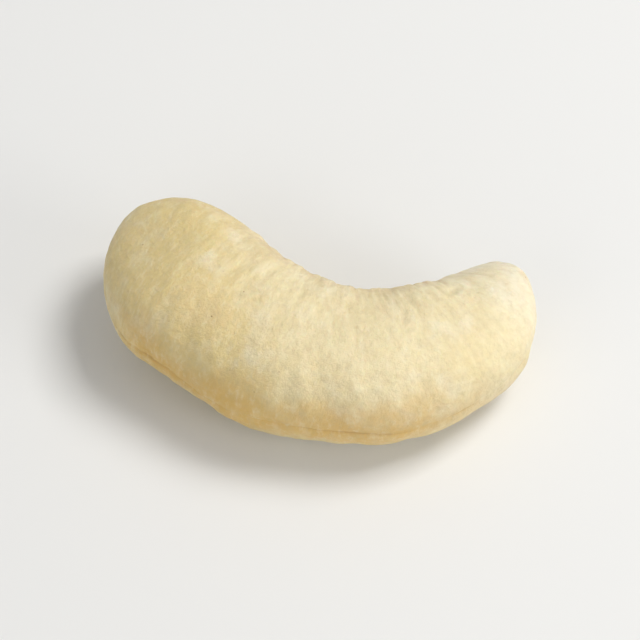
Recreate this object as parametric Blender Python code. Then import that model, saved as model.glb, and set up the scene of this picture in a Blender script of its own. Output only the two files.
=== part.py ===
"""A whole shelled cashew kernel, lying on its side on a small flat spot.

Metres, +Z up. The origin is on the surface that the kernel lies on, under the middle of its box. +X runs
along the kernel to the small lobe, and +Y points to the hollow side of the bend.
"""
import math

import bmesh
import bpy
import numpy as np
from mathutils import Vector, noise

MM = 0.001

# Spine, from the tip of the big lobe to the tip of the small one, at even steps along it
SPINE_LENGTH = 30.6 * MM
HEADINGS = (-10, -43, -29, 2, 38, 89)
HALF_WIDTHS = (5.2 * MM, 5.25 * MM, 5.0 * MM, 4.7 * MM, 3.0 * MM)
CORNER_EASING = 0.16

# Cross-section: a rounded oval, a little less thick than it is wide
THICKNESS_RATIO = 0.92
SECTION_POWER = 2.25
ROLLS = (-5, -1, 3)

# Tips: how far each one reaches in, and how blunt it is from above. From the side both are rounder.
BIG_TIP_LENGTH = 6.1 * MM
BIG_TIP_POWER = 2.9
SMALL_TIP_LENGTH = 6.1 * MM
SMALL_TIP_POWER = 1.85
SIDE_TIP_LENGTH = 7.0 * MM
SIDE_TIP_POWER = 1.9

# Height of the spine over the surface, at the big tip and at the small one
BIG_TIP_HEIGHT = 4.97 * MM
SMALL_TIP_HEIGHT = 3.70 * MM

# Seam between the two seed halves: a soft furrow that wanders and fades, with a low step beside it
SEAM_DEPTH_OUTER = 0.12 * MM
SEAM_DEPTH_INNER = 0.26 * MM
SEAM_WIDTH_OUTER = 0.36 * MM
SEAM_WIDTH_INNER = 0.50 * MM
SEAM_TIP_SHARE = 0.4
SEAM_FAINTEST = 0.25
SEAM_FADE_SIZE = 4 * MM
SEAM_WANDER = 0.35 * MM
SEAM_WANDER_SIZE = 5 * MM
SEAM_STEP = 0.10 * MM
SEAM_STEP_WIDTH = 0.20 * MM
SEAM_STEP_REACH = 1.3 * MM
SEAM_STEP_SIZE = 6 * MM

# Ribs across the outer edge, from flank to flank, between two places along the kernel
RIB_SPACING = 1.05 * MM
RIB_HEIGHT = 0.16 * MM
RIB_LENGTH = 6.0 * MM
RIB_SLANT = 0.35
RIB_START = 0.22
RIB_END = 0.88

# Puckers that run out from the inner edge of the bend, between two places along the kernel
PUCKER_SPACING = 1.60 * MM
PUCKER_LENGTH = 5.0 * MM
PUCKER_DEPTH = 0.10 * MM
PUCKER_SHARPNESS = 0.20
PUCKER_REACH = 3.3 * MM
PUCKER_START = 0.28
PUCKER_END = 0.85
PUCKER_SWAY = 0.5 * MM
PUCKER_SWAY_SIZE = 2 * MM
PUCKER_PATCH_SIZE = 3 * MM

# Uneven growth of the whole surface
SWELL_SIZE = 6.5 * MM
SWELL_HEIGHT = 0.30 * MM
RIPPLE_SIZE = 2.2 * MM
RIPPLE_HEIGHT = 0.07 * MM

# Seeds of the noise, one for each kind of unevenness
WANDER_SEED = 1
RIB_SEED = 2
PUCKER_SEED = 3
SWELL_SEED = 4
RIPPLE_SEED = 5
SWAY_SEED = 12
PATCH_SEED = 13
FADE_SEED = 16
STEP_SEED = 17

# Germ, the small nose at the inner corner of the small lobe: place along, angle around, height, radius
GERM = (0.915, 168, 0.30 * MM, 1.15 * MM)

# Dents (and, where the height is positive, bumps): place along, angle around, height, radius
SPOTS = (
    (0.13, 78, -0.35 * MM, 3.0 * MM),
    (0.37, 62, -0.18 * MM, 2.6 * MM),
    (0.60, 118, -0.22 * MM, 2.0 * MM),
    (0.80, 60, -0.20 * MM, 2.4 * MM),
    (0.30, 285, -0.25 * MM, 3.0 * MM),
    (0.68, 250, -0.22 * MM, 2.6 * MM),
    (0.828, 112, -0.20 * MM, 0.40 * MM),
    (0.578, 44, 0.10 * MM, 0.32 * MM),
    (0.607, 44, 0.09 * MM, 0.30 * MM),
)

# Mesh: faces around and along, and how much closer they lie at the seam
AROUND = 48
ALONG = 106
SEAM_CROWDING = 0.45

SAMPLES = 401
TINY = 1e-9


def eased(values):
    """The values at even steps along the spine, joined by straight runs with their corners rounded."""
    places = np.linspace(0, 1, len(values))
    runs = np.interp(np.linspace(0, 1, SAMPLES), places, values)
    half = int(CORNER_EASING * (SAMPLES - 1))
    window = np.hanning(2 * half + 1)
    return np.convolve(np.pad(runs, half, mode="edge"), window / window.sum(), mode="valid")


def tip(distance, length, power):
    """The section's share of its full size at a distance from a tip: 0 at the tip, 1 past its length."""
    left = np.clip(1 - distance / length, 0, 1)
    return np.sqrt(1 - left ** power)


class Spine:
    """The kernel's middle line, with the size of its section at each place from 0 to 1 along it."""

    def __init__(self):
        self.place = np.linspace(0, 1, SAMPLES)
        self.heading = np.radians(eased(HEADINGS))
        self.roll = np.radians(eased(ROLLS))
        step = SPINE_LENGTH / (SAMPLES - 1)
        self.x = self.running_sum(np.cos(self.heading)) * step
        self.y = self.running_sum(np.sin(self.heading)) * step
        from_big = self.place * SPINE_LENGTH
        from_small = SPINE_LENGTH - from_big
        full_width = eased(HALF_WIDTHS)
        big_taper = tip(from_big, BIG_TIP_LENGTH, BIG_TIP_POWER)
        small_taper = tip(from_small, SMALL_TIP_LENGTH, SMALL_TIP_POWER)
        side_taper = tip(np.minimum(from_big, from_small), SIDE_TIP_LENGTH, SIDE_TIP_POWER)
        self.full_width = full_width
        self.half_width = full_width * big_taper * small_taper
        self.half_thickness = full_width * THICKNESS_RATIO * side_taper
        edge = np.hypot(np.diff(from_big), np.diff(self.half_width))
        self.edge_length = np.concatenate(([0], np.cumsum(edge)))

    @staticmethod
    def running_sum(values):
        """The sum of the values up to each sample, by the trapezium rule."""
        return np.concatenate(([0], np.cumsum((values[1:] + values[:-1]) / 2)))

    def place_of(self, share):
        """The place along the spine that lies at this share of the way along the kernel's edge."""
        return np.interp(share * self.edge_length[-1], self.edge_length, self.place)

    def read(self, place, values):
        """One of the spine's values at places along it."""
        return np.interp(place, self.place, values)


def section_offsets(spine, place, angle):
    """How far each point lies outward from the spine and above the seam's plane."""
    half_width = np.maximum(spine.read(place, spine.half_width), TINY)
    half_thickness = np.maximum(spine.read(place, spine.half_thickness), TINY)
    reach = (np.abs(np.cos(angle) / half_width) ** SECTION_POWER
             + np.abs(np.sin(angle) / half_thickness) ** SECTION_POWER) ** (-1 / SECTION_POWER)
    return reach * np.cos(angle), reach * np.sin(angle)


def plain_surface(spine, place, angle):
    """Points of the smooth kernel. Angle 0 is the outer edge, 90 degrees the top and 180 the inner edge."""
    outward, above = section_offsets(spine, place, angle)
    roll = spine.read(place, spine.roll)
    level = outward * np.cos(roll) - above * np.sin(roll)
    upward = outward * np.sin(roll) + above * np.cos(roll)
    heading = spine.read(place, spine.heading)
    height = BIG_TIP_HEIGHT + (SMALL_TIP_HEIGHT - BIG_TIP_HEIGHT) * place
    x = spine.read(place, spine.x) + np.sin(heading) * level
    y = spine.read(place, spine.y) - np.cos(heading) * level
    return np.stack((x, y, height + upward), axis=-1)


class Skin:
    """The smooth kernel's surface, with what its relief needs to know at each point."""

    def __init__(self, spine, place, angle):
        self.points = plain_surface(spine, place, angle)
        self.plan = self.points * (1, 1, 0)
        self.place = place
        self.along = place * SPINE_LENGTH
        self.outward, self.above = section_offsets(spine, place, angle)
        full_width = spine.read(place, spine.full_width)
        self.from_inner_edge = full_width + self.outward
        self.side = self.outward / full_width


def noise_at(points, size, seed):
    """Smooth noise from about -1 to 1 whose swells are about this size."""
    shift = Vector((seed * 17.3, seed * 5.9, seed * 11.1))
    return np.array([noise.noise(Vector(point) / size + shift) for point in points])


def bell(distance, width):
    """1 where the distance is 0, falling smoothly to nothing at about twice the width."""
    return np.exp(-(distance / width) ** 2)


def smooth_step(low, high, value):
    """0 below low and 1 above high, with a smooth rise between."""
    share = np.clip((value - low) / (high - low), 0, 1)
    return share * share * (3 - 2 * share)


def seam_relief(skin):
    """The furrow between the seed halves, and the low step where one of them stands proud."""
    inner = smooth_step(-0.1, -0.8, skin.side)
    outer = smooth_step(0.0, 0.6, skin.side)
    outer_depth = SEAM_DEPTH_OUTER * (SEAM_TIP_SHARE + (1 - SEAM_TIP_SHARE) * outer)
    depth = outer_depth + (SEAM_DEPTH_INNER - outer_depth) * inner
    width = SEAM_WIDTH_OUTER + (SEAM_WIDTH_INNER - SEAM_WIDTH_OUTER) * inner
    offset = skin.above - SEAM_WANDER * noise_at(skin.plan, SEAM_WANDER_SIZE, WANDER_SEED)
    fading = np.clip(0.65 + 0.9 * noise_at(skin.plan, SEAM_FADE_SIZE, FADE_SEED), SEAM_FAINTEST, 1)
    half = 2 * smooth_step(-SEAM_STEP_WIDTH, SEAM_STEP_WIDTH, offset) - 1
    proud = SEAM_STEP * noise_at(skin.plan, SEAM_STEP_SIZE, STEP_SEED)
    return proud * half * bell(offset, SEAM_STEP_REACH) - depth * fading * bell(offset, width)


def rib_relief(skin):
    """Low, uneven ribs across the outer edge."""
    middle = smooth_step(RIB_START - 0.15, RIB_START, skin.place)
    middle *= smooth_step(RIB_END + 0.10, RIB_END, skin.place)
    outer = smooth_step(-0.1, 0.9, skin.side)
    slanted = skin.along + RIB_SLANT * np.abs(skin.above)
    line = np.stack((slanted, skin.above * RIB_SPACING / RIB_LENGTH, np.zeros_like(slanted)), axis=-1)
    return RIB_HEIGHT * noise_at(line, RIB_SPACING, RIB_SEED) * middle * outer


def pucker_relief(skin):
    """Uneven creases that run out from the inner edge and fade on the flanks."""
    middle = smooth_step(PUCKER_START - 0.16, PUCKER_START, skin.place)
    middle *= smooth_step(PUCKER_END + 0.12, PUCKER_END, skin.place)
    patches = np.clip(0.6 + noise_at(skin.points, PUCKER_PATCH_SIZE, PATCH_SEED), 0, 1)
    strength = patches * middle * bell(skin.from_inner_edge, PUCKER_REACH)
    swayed = skin.along + PUCKER_SWAY * noise_at(skin.points, PUCKER_SWAY_SIZE, SWAY_SEED)
    outward = skin.from_inner_edge * PUCKER_SPACING / PUCKER_LENGTH
    above_or_below = np.sign(skin.above) * 3 * MM
    line = np.stack((swayed, outward, above_or_below), axis=-1)
    return -PUCKER_DEPTH * bell(noise_at(line, PUCKER_SPACING, PUCKER_SEED), PUCKER_SHARPNESS) * strength


def growth_relief(skin):
    """Broad swells and smaller ripples all over."""
    swells = SWELL_HEIGHT * noise_at(skin.points, SWELL_SIZE, SWELL_SEED)
    ripples = RIPPLE_HEIGHT * noise_at(skin.points, RIPPLE_SIZE, RIPPLE_SEED)
    return swells + ripples


def bump_at(spine, skin, place, degrees, height, radius):
    """A round bump, or with a negative height a dent, in the middle of a spot on the surface."""
    middle = plain_surface(spine, np.array([place]), np.radians([degrees]))
    return height * bell(np.linalg.norm(skin.points - middle, axis=1), radius)


def relief_on(spine, skin):
    """How far the real surface stands out from the smooth one."""
    relief = seam_relief(skin) + rib_relief(skin) + pucker_relief(skin) + growth_relief(skin)
    relief += bump_at(spine, skin, *GERM)
    for spot in SPOTS:
        relief += bump_at(spine, skin, *spot)
    return relief


def place_points(bm, points):
    """Moves the mesh's vertices to the points."""
    for vertex, point in zip(bm.verts, points):
        vertex.co = point
    bm.normal_update()


def kernel_mesh():
    """A sphere drawn out along the spine, given its relief, and set down on its flat spot."""
    spine = Spine()
    bm = bmesh.new()
    bmesh.ops.create_uvsphere(bm, u_segments=AROUND, v_segments=ALONG, radius=1)
    sphere = np.array([vertex.co for vertex in bm.verts], dtype=float)
    share = 1 - np.arccos(np.clip(sphere[:, 2], -1, 1)) / math.pi
    turn = np.arctan2(sphere[:, 0], sphere[:, 1])
    angle = turn - SEAM_CROWDING * np.sin(2 * turn) / 2
    skin = Skin(spine, spine.place_of(share), angle)
    place_points(bm, skin.points)
    normals = np.array([vertex.normal for vertex in bm.verts])
    points = skin.points + normals * relief_on(spine, skin)[:, None]
    points[:, 2] = np.maximum(points[:, 2], 0)
    middle = (points.min(axis=0) + points.max(axis=0)) / 2
    points[:, :2] -= middle[:2]
    place_points(bm, points)
    bmesh.ops.triangulate(bm, faces=bm.faces)
    mesh = bpy.data.meshes.new("kernel")
    bm.to_mesh(mesh)
    bm.free()
    mesh.shade_smooth()
    return mesh


def kernel_material():
    """The pale ivory skin of a raw, blanched kernel."""
    material = bpy.data.materials.new("kernel")
    material.use_nodes = True
    shader = material.node_tree.nodes["Principled BSDF"]
    shader.inputs["Base Color"].default_value = (0.80, 0.68, 0.42, 1)
    shader.inputs["Roughness"].default_value = 0.5
    shader.inputs["Metallic"].default_value = 0
    return material


def main():
    for thing in list(bpy.data.objects):
        bpy.data.objects.remove(thing)
    kernel = bpy.data.objects.new("kernel", kernel_mesh())
    kernel.data.materials.append(kernel_material())
    bpy.context.scene.collection.objects.link(kernel)


main()
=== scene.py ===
"""The looks of a whole shelled cashew kernel, lying on its side under soft studio light.

The kernel's shape comes from the same formulas and sizes as its solid, with a finer mesh and finer relief.
"""
import math

import bmesh
import bpy
import numpy as np
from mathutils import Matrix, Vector, noise


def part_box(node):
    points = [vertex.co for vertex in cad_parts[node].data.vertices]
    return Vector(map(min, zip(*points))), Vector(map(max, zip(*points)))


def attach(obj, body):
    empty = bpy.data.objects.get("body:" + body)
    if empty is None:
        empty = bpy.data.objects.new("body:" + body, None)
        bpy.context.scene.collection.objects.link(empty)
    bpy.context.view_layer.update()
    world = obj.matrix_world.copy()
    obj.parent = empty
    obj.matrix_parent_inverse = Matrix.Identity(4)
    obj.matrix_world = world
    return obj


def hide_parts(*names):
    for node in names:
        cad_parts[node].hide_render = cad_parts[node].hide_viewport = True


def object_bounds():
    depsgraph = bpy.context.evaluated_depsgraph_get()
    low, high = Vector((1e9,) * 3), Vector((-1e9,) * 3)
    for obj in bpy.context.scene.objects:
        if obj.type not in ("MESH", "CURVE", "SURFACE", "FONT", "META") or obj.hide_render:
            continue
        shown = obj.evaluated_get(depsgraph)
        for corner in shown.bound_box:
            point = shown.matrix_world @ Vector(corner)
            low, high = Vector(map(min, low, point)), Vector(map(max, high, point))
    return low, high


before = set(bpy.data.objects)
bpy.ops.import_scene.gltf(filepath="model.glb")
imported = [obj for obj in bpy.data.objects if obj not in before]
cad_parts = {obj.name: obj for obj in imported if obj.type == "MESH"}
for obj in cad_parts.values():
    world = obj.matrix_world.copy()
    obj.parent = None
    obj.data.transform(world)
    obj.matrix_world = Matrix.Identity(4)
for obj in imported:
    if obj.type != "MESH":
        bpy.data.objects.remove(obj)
cad_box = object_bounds()

MM = 0.001

# Spine, from the tip of the big lobe to the tip of the small one, at even steps along it
SPINE_LENGTH = 30.6 * MM
HEADINGS = (-10, -43, -29, 2, 38, 89)
HALF_WIDTHS = (5.2 * MM, 5.25 * MM, 5.0 * MM, 4.7 * MM, 3.0 * MM)
CORNER_EASING = 0.16

# Cross-section: a rounded oval, a little less thick than it is wide
THICKNESS_RATIO = 0.92
SECTION_POWER = 2.25
ROLLS = (-5, -1, 3)

# Tips: how far each one reaches in, and how blunt it is from above. From the side both are rounder.
BIG_TIP_LENGTH = 6.1 * MM
BIG_TIP_POWER = 2.9
SMALL_TIP_LENGTH = 6.1 * MM
SMALL_TIP_POWER = 1.85
SIDE_TIP_LENGTH = 7.0 * MM
SIDE_TIP_POWER = 1.9

# Height of the spine over the surface, at the big tip and at the small one
BIG_TIP_HEIGHT = 4.97 * MM
SMALL_TIP_HEIGHT = 3.70 * MM

# Seam between the two seed halves: a soft furrow that wanders and fades, with a low step beside it
SEAM_DEPTH_OUTER = 0.12 * MM
SEAM_DEPTH_INNER = 0.26 * MM
SEAM_WIDTH_OUTER = 0.36 * MM
SEAM_WIDTH_INNER = 0.50 * MM
SEAM_TIP_SHARE = 0.4
SEAM_INNER_SIDES = (-0.1, -0.8)
SEAM_OUTER_SIDES = (0.0, 0.6)
SEAM_FADE_MIDDLE = 0.65
SEAM_FADE_SWING = 0.9
SEAM_FAINTEST = 0.25
SEAM_FADE_SIZE = 4 * MM
SEAM_WANDER = 0.35 * MM
SEAM_WANDER_SIZE = 5 * MM
SEAM_STEP = 0.10 * MM
SEAM_STEP_WIDTH = 0.20 * MM
SEAM_STEP_REACH = 1.3 * MM
SEAM_STEP_SIZE = 6 * MM

# Crack in the seam's furrow
CRACK_DEPTH = 0.08 * MM
CRACK_WIDTH = 0.06 * MM
CRACK_RAGGEDNESS = 0.07 * MM
CRACK_RAGGED_SIZE = 0.6 * MM
CRACK_GAPE_SIZE = 2.2 * MM
CRACK_GAPE_MIDDLE = 0.45
CRACK_GAPE_SWING = 1.1
CRACK_NARROWEST = 0.05

# Ribs across the outer edge, from flank to flank, between two places along the kernel
RIB_SPACING = 1.05 * MM
RIB_HEIGHT = 0.16 * MM
RIB_LENGTH = 6.0 * MM
RIB_SLANT = 0.35
RIB_START = 0.22
RIB_START_FADE = 0.15
RIB_END = 0.88
RIB_END_FADE = 0.10
RIB_SIDES = (-0.1, 0.9)

# Puckers that run out from the inner edge of the bend, between two places along the kernel
PUCKER_SPACING = 1.60 * MM
PUCKER_LENGTH = 5.0 * MM
PUCKER_DEPTH = 0.10 * MM
PUCKER_SHARPNESS = 0.20
PUCKER_REACH = 3.3 * MM
PUCKER_START = 0.28
PUCKER_START_FADE = 0.16
PUCKER_END = 0.85
PUCKER_END_FADE = 0.12
PUCKER_SWAY = 0.5 * MM
PUCKER_SWAY_SIZE = 2 * MM
PUCKER_PATCH_SIZE = 3 * MM
PUCKER_PATCH_MIDDLE = 0.6
PUCKER_SIDE_SHIFT = 3 * MM
FINE_PUCKER_SPACING = 0.70 * MM
FINE_PUCKER_DEPTH = 0.05 * MM
FINE_CREASE_SHARE = 0.4

# Fine striae across the kernel, clearer towards the inner edge and away from the big lobe
STRIA_SPACING = 0.80 * MM
STRIA_LENGTH = 3.0 * MM
STRIA_HEIGHT = 0.075 * MM
STRIA_SWAY = 0.20 * MM
STRIA_SWAY_SIZE = 1.5 * MM
STRIA_BROAD_SHARE = 0.7
STRIA_FINE_SHARE = 0.5
STRIA_OUTER_SHARE = 0.35
STRIA_SIDES = (0.5, -0.6)
STRIA_LOBE_SHARE = 0.40
STRIA_LOBE_PLACES = (0.08, 0.35)

# Uneven growth of the whole surface, down to a fine grain
SWELL_SIZE = 6.5 * MM
SWELL_HEIGHT = 0.30 * MM
RIPPLE_SIZE = 2.2 * MM
RIPPLE_HEIGHT = 0.07 * MM
PEBBLE_SIZE = 1.0 * MM
PEBBLE_HEIGHT = 0.045 * MM
GRAIN_SIZE = 0.34 * MM
GRAIN_HEIGHT = 0.020 * MM

# How far a seed moves the noise along each axis, and the seeds, one for each kind of unevenness
NOISE_STEPS = (17.3, 5.9, 11.1)
WANDER_SEED = 1
RIB_SEED = 2
PUCKER_SEED = 3
SWELL_SEED = 4
RIPPLE_SEED = 5
SWAY_SEED = 12
PATCH_SEED = 13
FADE_SEED = 16
STEP_SEED = 17
RAGGED_SEED = 6
GAPE_SEED = 7
FINE_PUCKER_SEED = 8
GRAIN_SEED = 9
PEBBLE_SEED = 18
STRIA_SWAY_SEED = 10
STRIA_SEED = 14
FINE_STRIA_SEED = 15

# Germ, the small nose at the inner corner of the small lobe: place along, angle around, height, radius
GERM = (0.915, 168, 0.30 * MM, 1.15 * MM)

# Dents (and, where the height is positive, bumps): place along, angle around, height, radius
SPOTS = (
    (0.13, 78, -0.35 * MM, 3.0 * MM),
    (0.37, 62, -0.18 * MM, 2.6 * MM),
    (0.60, 118, -0.22 * MM, 2.0 * MM),
    (0.80, 60, -0.20 * MM, 2.4 * MM),
    (0.30, 285, -0.25 * MM, 3.0 * MM),
    (0.68, 250, -0.22 * MM, 2.6 * MM),
    (0.828, 112, -0.20 * MM, 0.40 * MM),
    (0.578, 44, 0.10 * MM, 0.32 * MM),
    (0.607, 44, 0.09 * MM, 0.30 * MM),
)

# Tiny pits scattered over the skin
PITS = 70
PIT_SEED = 11
PIT_PLACES = (0.04, 0.96)
PIT_ANGLES = (-180, 180)
PIT_RADII = (0.08 * MM, 0.26 * MM)
PIT_DEPTH_SHARE = 0.16

# Where the marks for the colours lie: angles, places along and sides, each pair from nothing to full
# The outer band takes a warm honey tint, partly the skin's own and partly painted warm shade
BACK_REACH = math.radians(45)
BACK_STARTS = (0.02, 0.20)
BACK_ENDS = (0.84, 0.60)
INNER_SIDES = (0.2, -1.0)
SMALL_LOBE_PLACES = (0.78, 1.0)
LOBE_PLACE = 0.34
LOBE_SLANT = 0.15
LOBE_FADE = 0.15

# Mesh: faces around and along, and how much closer they lie at the seam
AROUND = 296
ALONG = 330
SEAM_CROWDING = 0.45

SAMPLES = 401
TINY = 1e-9

# Camera: it looks down as the photograph's does, through a long lens, and the kernel fills this share
CAMERA_ELEVATION = 60
CAMERA_LENS = 250
CAMERA_SENSOR = 36
CAMERA_CLIP_RATIO = 100
FRAME_SHARE = 0.68

# Lights: place, side, power and colour of each
KEY_LIGHT = ((0.17, 0.07, 0.32), 0.14, 0.84, (1.0, 0.99, 0.97))
SIDE_LIGHT = ((0.29, -0.14, 0.11), 0.14, 0.32, (1.0, 1.0, 1.0))
FILL_LIGHT = ((-0.22, -0.26, 0.20), 0.30, 0.22, (1.0, 0.99, 0.98))
SURROUNDING_COLOUR = (1.0, 1.0, 1.0)
SURROUNDING_STRENGTH = 0.40

FLOOR_COLOUR = (0.80, 0.80, 0.79)
FLOOR_ROUGHNESS = 0.8
FLOOR_HALF_SIDE = 1.5


def eased(values):
    """The values at even steps along the spine, joined by straight runs with their corners rounded."""
    places = np.linspace(0, 1, len(values))
    runs = np.interp(np.linspace(0, 1, SAMPLES), places, values)
    half = int(CORNER_EASING * (SAMPLES - 1))
    window = np.hanning(2 * half + 1)
    return np.convolve(np.pad(runs, half, mode="edge"), window / window.sum(), mode="valid")


def tip(distance, length, power):
    """The section's share of its full size at a distance from a tip: 0 at the tip, 1 past its length."""
    left = np.clip(1 - distance / length, 0, 1)
    return np.sqrt(1 - left ** power)


class Spine:
    """The kernel's middle line, with the size of its section at each place from 0 to 1 along it."""

    def __init__(self):
        self.place = np.linspace(0, 1, SAMPLES)
        self.heading = np.radians(eased(HEADINGS))
        self.roll = np.radians(eased(ROLLS))
        step = SPINE_LENGTH / (SAMPLES - 1)
        self.x = self.running_sum(np.cos(self.heading)) * step
        self.y = self.running_sum(np.sin(self.heading)) * step
        from_big = self.place * SPINE_LENGTH
        from_small = SPINE_LENGTH - from_big
        full_width = eased(HALF_WIDTHS)
        big_taper = tip(from_big, BIG_TIP_LENGTH, BIG_TIP_POWER)
        small_taper = tip(from_small, SMALL_TIP_LENGTH, SMALL_TIP_POWER)
        side_taper = tip(np.minimum(from_big, from_small), SIDE_TIP_LENGTH, SIDE_TIP_POWER)
        self.full_width = full_width
        self.half_width = full_width * big_taper * small_taper
        self.half_thickness = full_width * THICKNESS_RATIO * side_taper
        edge = np.hypot(np.diff(from_big), np.diff(self.half_width))
        self.edge_length = np.concatenate(([0], np.cumsum(edge)))

    @staticmethod
    def running_sum(values):
        """The sum of the values up to each sample, by the trapezium rule."""
        return np.concatenate(([0], np.cumsum((values[1:] + values[:-1]) / 2)))

    def place_of(self, share):
        """The place along the spine that lies at this share of the way along the kernel's edge."""
        return np.interp(share * self.edge_length[-1], self.edge_length, self.place)

    def read(self, place, values):
        """One of the spine's values at places along it."""
        return np.interp(place, self.place, values)


def section_offsets(spine, place, angle):
    """How far each point lies outward from the spine and above the seam's plane."""
    half_width = np.maximum(spine.read(place, spine.half_width), TINY)
    half_thickness = np.maximum(spine.read(place, spine.half_thickness), TINY)
    reach = (np.abs(np.cos(angle) / half_width) ** SECTION_POWER
             + np.abs(np.sin(angle) / half_thickness) ** SECTION_POWER) ** (-1 / SECTION_POWER)
    return reach * np.cos(angle), reach * np.sin(angle)


def plain_surface(spine, place, angle):
    """Points of the smooth kernel. Angle 0 is the outer edge, 90 degrees the top and 180 the inner edge."""
    outward, above = section_offsets(spine, place, angle)
    roll = spine.read(place, spine.roll)
    level = outward * np.cos(roll) - above * np.sin(roll)
    upward = outward * np.sin(roll) + above * np.cos(roll)
    heading = spine.read(place, spine.heading)
    height = BIG_TIP_HEIGHT + (SMALL_TIP_HEIGHT - BIG_TIP_HEIGHT) * place
    x = spine.read(place, spine.x) + np.sin(heading) * level
    y = spine.read(place, spine.y) - np.cos(heading) * level
    return np.stack((x, y, height + upward), axis=-1)


class Skin:
    """The smooth kernel's surface, with what its relief needs to know at each point."""

    def __init__(self, spine, place, angle):
        self.points = plain_surface(spine, place, angle)
        self.plan = self.points * (1, 1, 0)
        self.place = place
        self.angle = angle
        self.along = place * SPINE_LENGTH
        self.outward, self.above = section_offsets(spine, place, angle)
        full_width = spine.read(place, spine.full_width)
        self.from_inner_edge = full_width + self.outward
        self.side = self.outward / full_width


def noise_at(points, size, seed):
    """Smooth noise from about -1 to 1 whose swells are about this size."""
    shift = Vector([seed * step for step in NOISE_STEPS])
    return np.array([noise.noise(Vector(point) / size + shift) for point in points])


def bell(distance, width):
    """1 where the distance is 0, falling smoothly to nothing at about twice the width."""
    return np.exp(-(distance / width) ** 2)


def smooth_step(low, high, value):
    """0 below low and 1 above high, with a smooth rise between."""
    share = np.clip((value - low) / (high - low), 0, 1)
    return share * share * (3 - 2 * share)


def seam_relief(skin):
    """The furrow between the seed halves, the low step beside it, and how far the crack in it gapes."""
    inner = smooth_step(*SEAM_INNER_SIDES, skin.side)
    outer = smooth_step(*SEAM_OUTER_SIDES, skin.side)
    outer_depth = SEAM_DEPTH_OUTER * (SEAM_TIP_SHARE + (1 - SEAM_TIP_SHARE) * outer)
    depth = outer_depth + (SEAM_DEPTH_INNER - outer_depth) * inner
    width = SEAM_WIDTH_OUTER + (SEAM_WIDTH_INNER - SEAM_WIDTH_OUTER) * inner
    offset = skin.above - SEAM_WANDER * noise_at(skin.plan, SEAM_WANDER_SIZE, WANDER_SEED)
    fading = SEAM_FADE_MIDDLE + SEAM_FADE_SWING * noise_at(skin.plan, SEAM_FADE_SIZE, FADE_SEED)
    fading = np.clip(fading, SEAM_FAINTEST, 1)
    half = 2 * smooth_step(-SEAM_STEP_WIDTH, SEAM_STEP_WIDTH, offset) - 1
    proud = SEAM_STEP * noise_at(skin.plan, SEAM_STEP_SIZE, STEP_SEED)
    ragged = offset + CRACK_RAGGEDNESS * noise_at(skin.plan, CRACK_RAGGED_SIZE, RAGGED_SEED)
    gape = CRACK_GAPE_MIDDLE + CRACK_GAPE_SWING * noise_at(skin.plan, CRACK_GAPE_SIZE, GAPE_SEED)
    crack = np.clip(gape, CRACK_NARROWEST, 1) * bell(ragged, CRACK_WIDTH)
    furrow = depth * fading * bell(offset, width)
    return proud * half * bell(offset, SEAM_STEP_REACH) - furrow - CRACK_DEPTH * crack, crack


def rib_relief(skin):
    """Low, uneven ribs across the outer edge."""
    middle = smooth_step(RIB_START - RIB_START_FADE, RIB_START, skin.place)
    middle *= smooth_step(RIB_END + RIB_END_FADE, RIB_END, skin.place)
    outer = smooth_step(*RIB_SIDES, skin.side)
    slanted = skin.along + RIB_SLANT * np.abs(skin.above)
    line = np.stack((slanted, skin.above * RIB_SPACING / RIB_LENGTH, np.zeros_like(slanted)), axis=-1)
    return RIB_HEIGHT * noise_at(line, RIB_SPACING, RIB_SEED) * middle * outer


def pucker_relief(skin):
    """Uneven creases that run out from the inner edge and fade on the flanks, and how deep in one it is,
    which sets painted shade in the creases.
    """
    middle = smooth_step(PUCKER_START - PUCKER_START_FADE, PUCKER_START, skin.place)
    middle *= smooth_step(PUCKER_END + PUCKER_END_FADE, PUCKER_END, skin.place)
    patches = np.clip(PUCKER_PATCH_MIDDLE + noise_at(skin.points, PUCKER_PATCH_SIZE, PATCH_SEED), 0, 1)
    strength = patches * middle * bell(skin.from_inner_edge, PUCKER_REACH)
    swayed = skin.along + PUCKER_SWAY * noise_at(skin.points, PUCKER_SWAY_SIZE, SWAY_SEED)
    outward = skin.from_inner_edge * PUCKER_SPACING / PUCKER_LENGTH
    above_or_below = np.sign(skin.above) * PUCKER_SIDE_SHIFT
    line = np.stack((swayed, outward, above_or_below), axis=-1)
    broad = bell(noise_at(line, PUCKER_SPACING, PUCKER_SEED), PUCKER_SHARPNESS) * strength
    fine = bell(noise_at(line, FINE_PUCKER_SPACING, FINE_PUCKER_SEED), PUCKER_SHARPNESS) * strength
    crease_shade = np.clip(broad + FINE_CREASE_SHARE * fine, 0, 1)
    return -PUCKER_DEPTH * broad - FINE_PUCKER_DEPTH * fine, crease_shade


def stria_relief(skin):
    """Fine striae across the kernel, and how far up or down in them it is, from -1 to 1, which sets painted
    shade in their furrows and a painted highlight on their ridges.
    """
    inner = STRIA_OUTER_SHARE + (1 - STRIA_OUTER_SHARE) * smooth_step(*STRIA_SIDES, skin.side)
    past_lobe = smooth_step(*STRIA_LOBE_PLACES, skin.place)
    past_lobe = STRIA_LOBE_SHARE + (1 - STRIA_LOBE_SHARE) * past_lobe
    swayed = skin.along + STRIA_SWAY * noise_at(skin.points, STRIA_SWAY_SIZE, STRIA_SWAY_SEED)
    stretch = STRIA_SPACING / STRIA_LENGTH
    line = np.stack((swayed, skin.outward * stretch, skin.above * stretch), axis=-1)
    broad = STRIA_BROAD_SHARE * noise_at(line, STRIA_SPACING, STRIA_SEED)
    fine = STRIA_FINE_SHARE * noise_at(line, STRIA_SPACING / 2, FINE_STRIA_SEED)
    wave = (broad + fine) * inner * past_lobe
    return STRIA_HEIGHT * wave, wave


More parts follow.
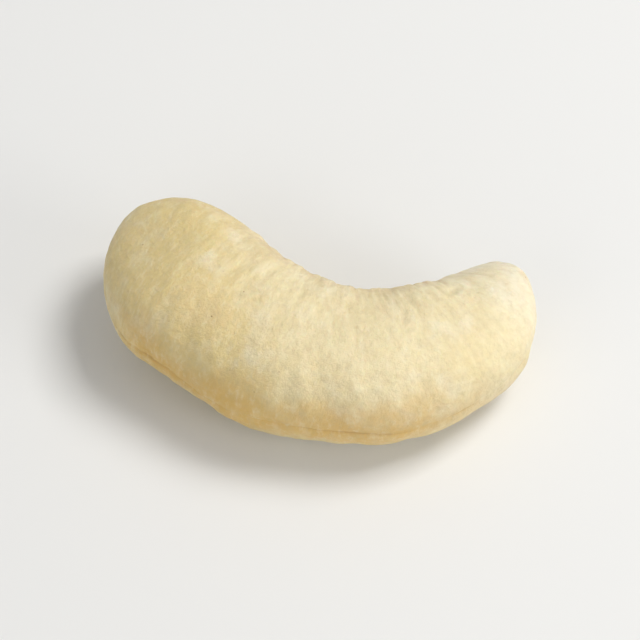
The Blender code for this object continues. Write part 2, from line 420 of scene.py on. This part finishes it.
def growth_relief(skin):
    """Broad swells, smaller ripples and a fine grain all over."""
    swells = SWELL_HEIGHT * noise_at(skin.points, SWELL_SIZE, SWELL_SEED)
    ripples = RIPPLE_HEIGHT * noise_at(skin.points, RIPPLE_SIZE, RIPPLE_SEED)
    pebbles = PEBBLE_HEIGHT * noise_at(skin.points, PEBBLE_SIZE, PEBBLE_SEED)
    grain = GRAIN_HEIGHT * noise_at(skin.points, GRAIN_SIZE, GRAIN_SEED)
    return swells + ripples + pebbles + grain


def bump_at(spine, skin, place, degrees, height, radius):
    """A round bump, or with a negative height a dent, in the middle of a spot on the surface."""
    middle = plain_surface(spine, np.array([place]), np.radians([degrees]))
    return height * bell(np.linalg.norm(skin.points - middle, axis=1), radius)


def bump_top_highlight_marks(spine, skin):
    """1 on top of each small bump, falling to 0 around it; it sets a painted highlight on the bumps."""
    marks = np.zeros(len(skin.points))
    for place, degrees, height, radius in SPOTS:
        if height > 0:
            marks += bump_at(spine, skin, place, degrees, 1, radius)
    return marks


def pit_relief(spine, skin):
    """Tiny pits at random places."""
    random = np.random.default_rng(PIT_SEED)
    relief = np.zeros(len(skin.points))
    for _ in range(PITS):
        place = random.uniform(*PIT_PLACES)
        degrees = random.uniform(*PIT_ANGLES)
        radius = random.uniform(*PIT_RADII)
        relief += bump_at(spine, skin, place, degrees, -PIT_DEPTH_SHARE * radius, radius)
    return relief


def relief_on(spine, skin):
    """How far the real surface stands out from the smooth one, and the marks that its colours follow."""
    seam, crack = seam_relief(skin)
    puckers, crease_shade = pucker_relief(skin)
    striae, stria_shade_and_highlight = stria_relief(skin)
    relief = seam + puckers + striae + rib_relief(skin) + growth_relief(skin) + pit_relief(spine, skin)
    relief += bump_at(spine, skin, *GERM)
    for spot in SPOTS:
        relief += bump_at(spine, skin, *spot)
    off_tips = smooth_step(*BACK_STARTS, skin.place) * smooth_step(*BACK_ENDS, skin.place)
    from_lobe = skin.place - LOBE_PLACE - LOBE_SLANT * skin.side
    marks = {
        "crack": crack,
        # Creases: where painted shade goes
        "crease_shade": crease_shade,
        "bump": bump_top_highlight_marks(spine, skin),
        # Striae: painted shade in the furrows, painted highlight on the ridges
        "stria_shade_and_highlight": stria_shade_and_highlight,
        "inner": smooth_step(*INNER_SIDES, skin.side),
        # Outer band: where the honey tint goes, partly skin tint and partly painted warm shade
        "outer_band_tint_and_shade": np.clip(1 - np.abs(skin.angle) / BACK_REACH, 0, 1) * off_tips,
        # The lobe marks set tints that are partly skin tone, with painted shade on the big lobe and painted
        # light on the small one
        "big_lobe": smooth_step(LOBE_FADE, -LOBE_FADE, from_lobe),
        "small_lobe": smooth_step(*SMALL_LOBE_PLACES, skin.place),
        "along": skin.along,
        "outward": skin.outward,
        "above": skin.above,
    }
    return relief, marks


def place_points(bm, points):
    """Moves the mesh's vertices to the points."""
    for vertex, point in zip(bm.verts, points):
        vertex.co = point
    bm.normal_update()


def kernel_mesh():
    """A sphere drawn out along the spine, given its relief, and set down on its flat spot."""
    spine = Spine()
    bm = bmesh.new()
    bmesh.ops.create_uvsphere(bm, u_segments=AROUND, v_segments=ALONG, radius=1)
    sphere = np.array([vertex.co for vertex in bm.verts], dtype=float)
    share = 1 - np.arccos(np.clip(sphere[:, 2], -1, 1)) / math.pi
    turn = np.arctan2(sphere[:, 0], sphere[:, 1])
    angle = turn - SEAM_CROWDING * np.sin(2 * turn) / 2
    skin = Skin(spine, spine.place_of(share), angle)
    place_points(bm, skin.points)
    normals = np.array([vertex.normal for vertex in bm.verts])
    relief, marks = relief_on(spine, skin)
    points = skin.points + normals * relief[:, None]
    points[:, 2] = np.maximum(points[:, 2], 0)
    middle = (points.min(axis=0) + points.max(axis=0)) / 2
    low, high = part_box("kernel")
    points[:, 0] += (low[0] + high[0]) / 2 - middle[0]
    points[:, 1] += (low[1] + high[1]) / 2 - middle[1]
    place_points(bm, points)
    mesh = bpy.data.meshes.new("kernel_skin")
    bm.to_mesh(mesh)
    bm.free()
    for name, values in marks.items():
        layer = mesh.attributes.new(name, "FLOAT", "POINT")
        layer.data.foreach_set("value", values.astype(np.float32))
    mesh.shade_smooth()
    return mesh


class Nodes:
    """Short forms for building a material's node tree."""

    def __init__(self, name):
        self.material = bpy.data.materials.new(name)
        self.material.use_nodes = True
        self.tree = self.material.node_tree
        self.shader = self.tree.nodes["Principled BSDF"]
        self.coordinates = self.tree.nodes.new("ShaderNodeTexCoord").outputs["Object"]
        self.across = self.across_coordinates()

    def link(self, source, target):
        self.tree.links.new(source, target)

    def noise(self, size, detail=2.0, roughness=0.5, across=False):
        """Noise from 0 to 1 whose swells are about this size, or are drawn out across the kernel."""
        node = self.tree.nodes.new("ShaderNodeTexNoise")
        node.inputs["Scale"].default_value = 1 / size
        node.inputs["Detail"].default_value = detail
        node.inputs["Roughness"].default_value = roughness
        self.link(self.across if across else self.coordinates, node.inputs["Vector"])
        return node.outputs["Fac"]

    def mark(self, name):
        """One of the marks that the mesh holds at each of its points."""
        node = self.tree.nodes.new("ShaderNodeAttribute")
        node.attribute_name = name
        return node.outputs["Fac"]

    def across_coordinates(self):
        """The place along the kernel, and across it in shortened steps, which draw a pattern out."""
        scale = self.tree.nodes.new("ShaderNodeVectorMath")
        scale.operation = "MULTIPLY"
        scale.inputs[1].default_value = (1, 1 / STREAK_STRETCH, 1 / STREAK_STRETCH)
        axes = self.tree.nodes.new("ShaderNodeCombineXYZ")
        self.link(self.mark("along"), axes.inputs["X"])
        self.link(self.mark("outward"), axes.inputs["Y"])
        self.link(self.mark("above"), axes.inputs["Z"])
        self.link(axes.outputs["Vector"], scale.inputs[0])
        return scale.outputs["Vector"]

    def ranged(self, source, low, high, to_low=0.0, to_high=1.0):
        """The source's values from low to high, spread smoothly over to_low to to_high."""
        node = self.tree.nodes.new("ShaderNodeMapRange")
        node.interpolation_type = "SMOOTHSTEP"
        self.link(source, node.inputs["Value"])
        node.inputs["From Min"].default_value = low
        node.inputs["From Max"].default_value = high
        node.inputs["To Min"].default_value = to_low
        node.inputs["To Max"].default_value = to_high
        return node.outputs["Result"]

    def tinted(self, colour, share, tint):
        """A colour or an output, mixed with a tint by a share."""
        node = self.tree.nodes.new("ShaderNodeMix")
        node.data_type = "RGBA"
        node.clamp_factor = True
        self.link(share, node.inputs["Factor"])
        if isinstance(colour, tuple):
            node.inputs["A"].default_value = (*colour, 1)
        else:
            self.link(colour, node.inputs["A"])
        node.inputs["B"].default_value = (*tint, 1)
        return node.outputs["Result"]

    def math(self, operation, first, second):
        node = self.tree.nodes.new("ShaderNodeMath")
        node.operation = operation
        self.link(first, node.inputs[0])
        self.link(second, node.inputs[1])
        return node.outputs["Value"]

    def specks(self, spacing, radius):
        """1 in small round specks, 0 between them."""
        cells = self.tree.nodes.new("ShaderNodeTexVoronoi")
        cells.inputs["Scale"].default_value = 1 / spacing
        self.link(self.coordinates, cells.inputs["Vector"])
        edge = radius / spacing
        return self.ranged(cells.outputs["Distance"], edge, edge * SPECK_CORE_SHARE)


def linear(red, green, blue):
    """A display colour from 0 to 255 as the linear values that shaders take."""
    def channel(value):
        share = value / 255
        return share / 12.92 if share <= 0.04045 else ((share + 0.055) / 1.055) ** 2.4
    return tuple(channel(value) for value in (red, green, blue))


IVORY = linear(242, 227, 184)
PALE_IVORY = linear(253, 243, 208)
DARK_IVORY = linear(208, 190, 146)
CREAM = linear(251, 245, 224)
STRAW = linear(231, 209, 152)
PEACH = linear(244, 216, 172)
KHAKI = linear(230, 207, 142)
HONEY = linear(228, 184, 94)
TAN = linear(205, 163, 104)
BROWN = linear(140, 88, 48)

# What a noise texture mostly stays between
NOISE_RANGE = (0.3, 0.7)

# Tints of the lobes, under the patches: khaki on the big lobe, partly the skin's own tone and partly
# painted shade, and cream on the small lobe, partly the skin's own tone and partly painted light: mark,
# unevenness, where each starts and is full, share, tint
AREAS = (
    # Big lobe: khaki, partly skin tone and partly painted shade
    ("big_lobe", 0.15, 0.0, 1.0, 0.85, KHAKI),
    # Small lobe: cream, partly skin tone and partly painted light
    ("small_lobe", 0.15, 0.0, 1.0, 0.90, CREAM),
)

# Patches of other tints all over: size, detail, roughness, where each starts and is full, share, tint
PATCHES = (
    (5.0 * MM, 3, 0.50, 0.38, 0.66, 0.40, STRAW),
    (2.4 * MM, 4, 0.60, 0.50, 0.72, 0.35, CREAM),
    (7.5 * MM, 2, 0.50, 0.52, 0.70, 0.25, PEACH),
    (0.45 * MM, 5, 0.65, 0.40, 0.75, 0.35, DARK_IVORY),
)

# Tints that follow marks, over the patches: mark, unevenness, where each starts and is full, share, tint
MARKINGS = (
    # Outer band: honey, partly the skin's own tint and partly painted warm shade
    ("outer_band_tint_and_shade", 0.20, 0.0, 1.1, 0.78, HONEY),
    # Striae: painted shade in their furrows, then a painted highlight on their ridges
    ("stria_shade_and_highlight", 0.0, 0.05, -0.45, 0.32, DARK_IVORY),
    ("stria_shade_and_highlight", 0.0, 0.05, 0.45, 0.32, PALE_IVORY),
    # Painted highlight on top of the small bumps
    ("bump", 0.0, 0.1, 0.9, 0.35, PALE_IVORY),
    ("inner", 0.0, 0.7, 1.0, 0.15, TAN),
    # Painted shade in the puckers' creases
    ("crease_shade", 0.0, 0.15, 1.0, 0.25, TAN),
    ("crack", 0.0, 0.1, 0.9, 0.65, TAN),
)
UNEVEN_NOISE = (3.5 * MM, 4, 0.6)

# Streaks across the kernel: size, where each kind starts and is full, share, tint
STREAK_SIZE = 0.26 * MM
BROAD_STREAK_SIZE = 0.60 * MM
STREAKS = (
    (BROAD_STREAK_SIZE, 0.50, 0.74, 0.30, PALE_IVORY),
    (BROAD_STREAK_SIZE, 0.46, 0.26, 0.25, DARK_IVORY),
    (STREAK_SIZE, 0.50, 0.74, 0.30, PALE_IVORY),
    (STREAK_SIZE, 0.46, 0.26, 0.25, DARK_IVORY),
)
STREAK_STRETCH = 2.8
STREAK_DETAIL = 4
STREAK_ROUGHNESS = 0.6

# Dark specks, here and there
SPECK_SPACING = 1.1 * MM
SPECK_RADIUS = 0.075 * MM
SPECK_CORE_SHARE = 0.5
SPECK_SHARE = 0.6
SPECK_PATCH_SIZE = 3.0 * MM
SPECK_PATCH_RANGE = (0.56, 0.64)

# Grain finer than the mesh, and the share of the fine streaks in it, off the big lobe and on it
BUMP_HEIGHT = 0.14 * MM
BUMP_NOISE = (0.40 * MM, 6, 0.75)
BUMP_STREAKS = (0.35, 0.15)
BUMP_STREAK_DETAIL = 3

# Sheen, from the smoothest places to the dullest
ROUGHNESS = (0.42, 0.60)
ROUGHNESS_NOISE = (1.4 * MM, 4)

# Light that enters the skin and comes out near by
REFRACTION = 1.46
INNER_LIGHT_SHARE = 0.25
INNER_LIGHT_REACH = 0.6 * MM
INNER_LIGHT_COLOUR = (1.0, 0.62, 0.30)


def marked(nodes, colour, markings):
    """The colour with the tints that follow the mesh's marks."""
    for name, unevenness, start, full, share, tint in markings:
        mark = nodes.mark(name)
        if unevenness:
            uneven = nodes.ranged(nodes.noise(*UNEVEN_NOISE), *NOISE_RANGE, -unevenness, unevenness)
            mark = nodes.math("ADD", mark, uneven)
        colour = nodes.tinted(colour, nodes.ranged(mark, start, full, 0.0, share), tint)
    return colour


def skin_colour(nodes):
    """Ivory with lobes tinted partly by painted shade and painted light, patches, the tints of the marks
    (among them painted warm shade on the outer band, painted shade in the creases and stria furrows, and
    painted highlights on the stria ridges and bumps), streaks and a few dark specks.
    """
    colour = marked(nodes, IVORY, AREAS)
    for size, detail, roughness, start, full, share, tint in PATCHES:
        patch = nodes.ranged(nodes.noise(size, detail, roughness), start, full, 0.0, share)
        colour = nodes.tinted(colour, patch, tint)
    colour = marked(nodes, colour, MARKINGS)
    for size, start, full, share, tint in STREAKS:
        streaks = nodes.noise(size, STREAK_DETAIL, STREAK_ROUGHNESS, across=True)
        colour = nodes.tinted(colour, nodes.ranged(streaks, start, full, 0.0, share), tint)
    sparse = nodes.ranged(nodes.noise(SPECK_PATCH_SIZE), *SPECK_PATCH_RANGE, 0.0, SPECK_SHARE)
    specks = nodes.math("MULTIPLY", nodes.specks(SPECK_SPACING, SPECK_RADIUS), sparse)
    return nodes.tinted(colour, specks, BROWN)


def skin_grain(nodes):
    """Grain and streaks finer than the mesh, as a bumped normal."""
    grain = nodes.noise(*BUMP_NOISE)
    strength = nodes.ranged(nodes.mark("big_lobe"), 0.0, 1.0, *BUMP_STREAKS)
    fine = nodes.noise(STREAK_SIZE, BUMP_STREAK_DETAIL, STREAK_ROUGHNESS, across=True)
    streaks = nodes.math("MULTIPLY", fine, strength)
    bump = nodes.tree.nodes.new("ShaderNodeBump")
    bump.inputs["Strength"].default_value = 1
    bump.inputs["Distance"].default_value = BUMP_HEIGHT
    nodes.link(nodes.math("ADD", grain, streaks), bump.inputs["Height"])
    return bump.outputs["Normal"]


def kernel_material():
    """The faintly see-through skin of a raw, blanched kernel, with a slight sheen."""
    nodes = Nodes("kernel_skin")
    shader = nodes.shader
    roughness = nodes.ranged(nodes.noise(*ROUGHNESS_NOISE), *NOISE_RANGE, *ROUGHNESS)
    nodes.link(skin_colour(nodes), shader.inputs["Base Color"])
    nodes.link(roughness, shader.inputs["Roughness"])
    nodes.link(skin_grain(nodes), shader.inputs["Normal"])
    shader.inputs["IOR"].default_value = REFRACTION
    shader.inputs["Subsurface Weight"].default_value = INNER_LIGHT_SHARE
    shader.inputs["Subsurface Radius"].default_value = INNER_LIGHT_COLOUR
    shader.inputs["Subsurface Scale"].default_value = INNER_LIGHT_REACH
    return nodes.material


def make_kernel():
    """The kernel as the camera sees it, in the place of its plain solid."""
    kernel = bpy.data.objects.new("kernel_skin", kernel_mesh())
    kernel.data.materials.append(kernel_material())
    bpy.context.scene.collection.objects.link(kernel)
    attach(kernel, "root")
    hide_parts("kernel")


def make_floor():
    """A plain pale floor."""
    bm = bmesh.new()
    bmesh.ops.create_grid(bm, x_segments=1, y_segments=1, size=FLOOR_HALF_SIDE)
    mesh = bpy.data.meshes.new("floor")
    bm.to_mesh(mesh)
    bm.free()
    floor = bpy.data.objects.new("floor", mesh)
    material = bpy.data.materials.new("floor")
    material.use_nodes = True
    shader = material.node_tree.nodes["Principled BSDF"]
    shader.inputs["Base Color"].default_value = (*FLOOR_COLOUR, 1)
    shader.inputs["Roughness"].default_value = FLOOR_ROUGHNESS
    floor.data.materials.append(material)
    bpy.context.scene.collection.objects.link(floor)


def point_at(thing, target):
    """Turns a camera or a light to look at a point."""
    thing.rotation_mode = "QUATERNION"
    thing.rotation_quaternion = (target - thing.location).to_track_quat("-Z", "Y")


def make_light(name, place, side, power, colour, target):
    """A soft square light."""
    light = bpy.data.lights.new(name, "AREA")
    light.shape = "SQUARE"
    light.size = side
    light.energy = power
    light.color = colour
    lamp = bpy.data.objects.new(name, light)
    lamp.location = place
    bpy.context.scene.collection.objects.link(lamp)
    point_at(lamp, target)


def make_lights(target):
    """A key light from the upper right, weaker ones from the right and the left, and a pale surrounding."""
    make_light("key", *KEY_LIGHT, target)
    make_light("side", *SIDE_LIGHT, target)
    make_light("fill", *FILL_LIGHT, target)
    world = bpy.data.worlds.new("studio")
    world.use_nodes = True
    background = world.node_tree.nodes["Background"]
    background.inputs["Color"].default_value = (*SURROUNDING_COLOUR, 1)
    background.inputs["Strength"].default_value = SURROUNDING_STRENGTH
    bpy.context.scene.world = world


def make_camera(target, width):
    """The camera, as far off as the kernel's width in its picture asks."""
    camera = bpy.data.cameras.new("camera")
    camera.lens = CAMERA_LENS
    camera.sensor_width = CAMERA_SENSOR
    distance = width / FRAME_SHARE * CAMERA_LENS / CAMERA_SENSOR
    camera.clip_start = distance / CAMERA_CLIP_RATIO
    camera.clip_end = distance * CAMERA_CLIP_RATIO
    eye = bpy.data.objects.new("camera", camera)
    elevation = math.radians(CAMERA_ELEVATION)
    eye.location = target + Vector((0, -math.cos(elevation), math.sin(elevation))) * distance
    bpy.context.scene.collection.objects.link(eye)
    point_at(eye, target)
    bpy.context.scene.camera = eye


low, high = cad_box
centre = (Vector(low) + Vector(high)) / 2
make_kernel()
make_floor()
make_lights(centre)
make_camera(centre, high[0] - low[0])
bpy.context.scene.view_settings.view_transform = "Standard"
bpy.context.view_layer.update()
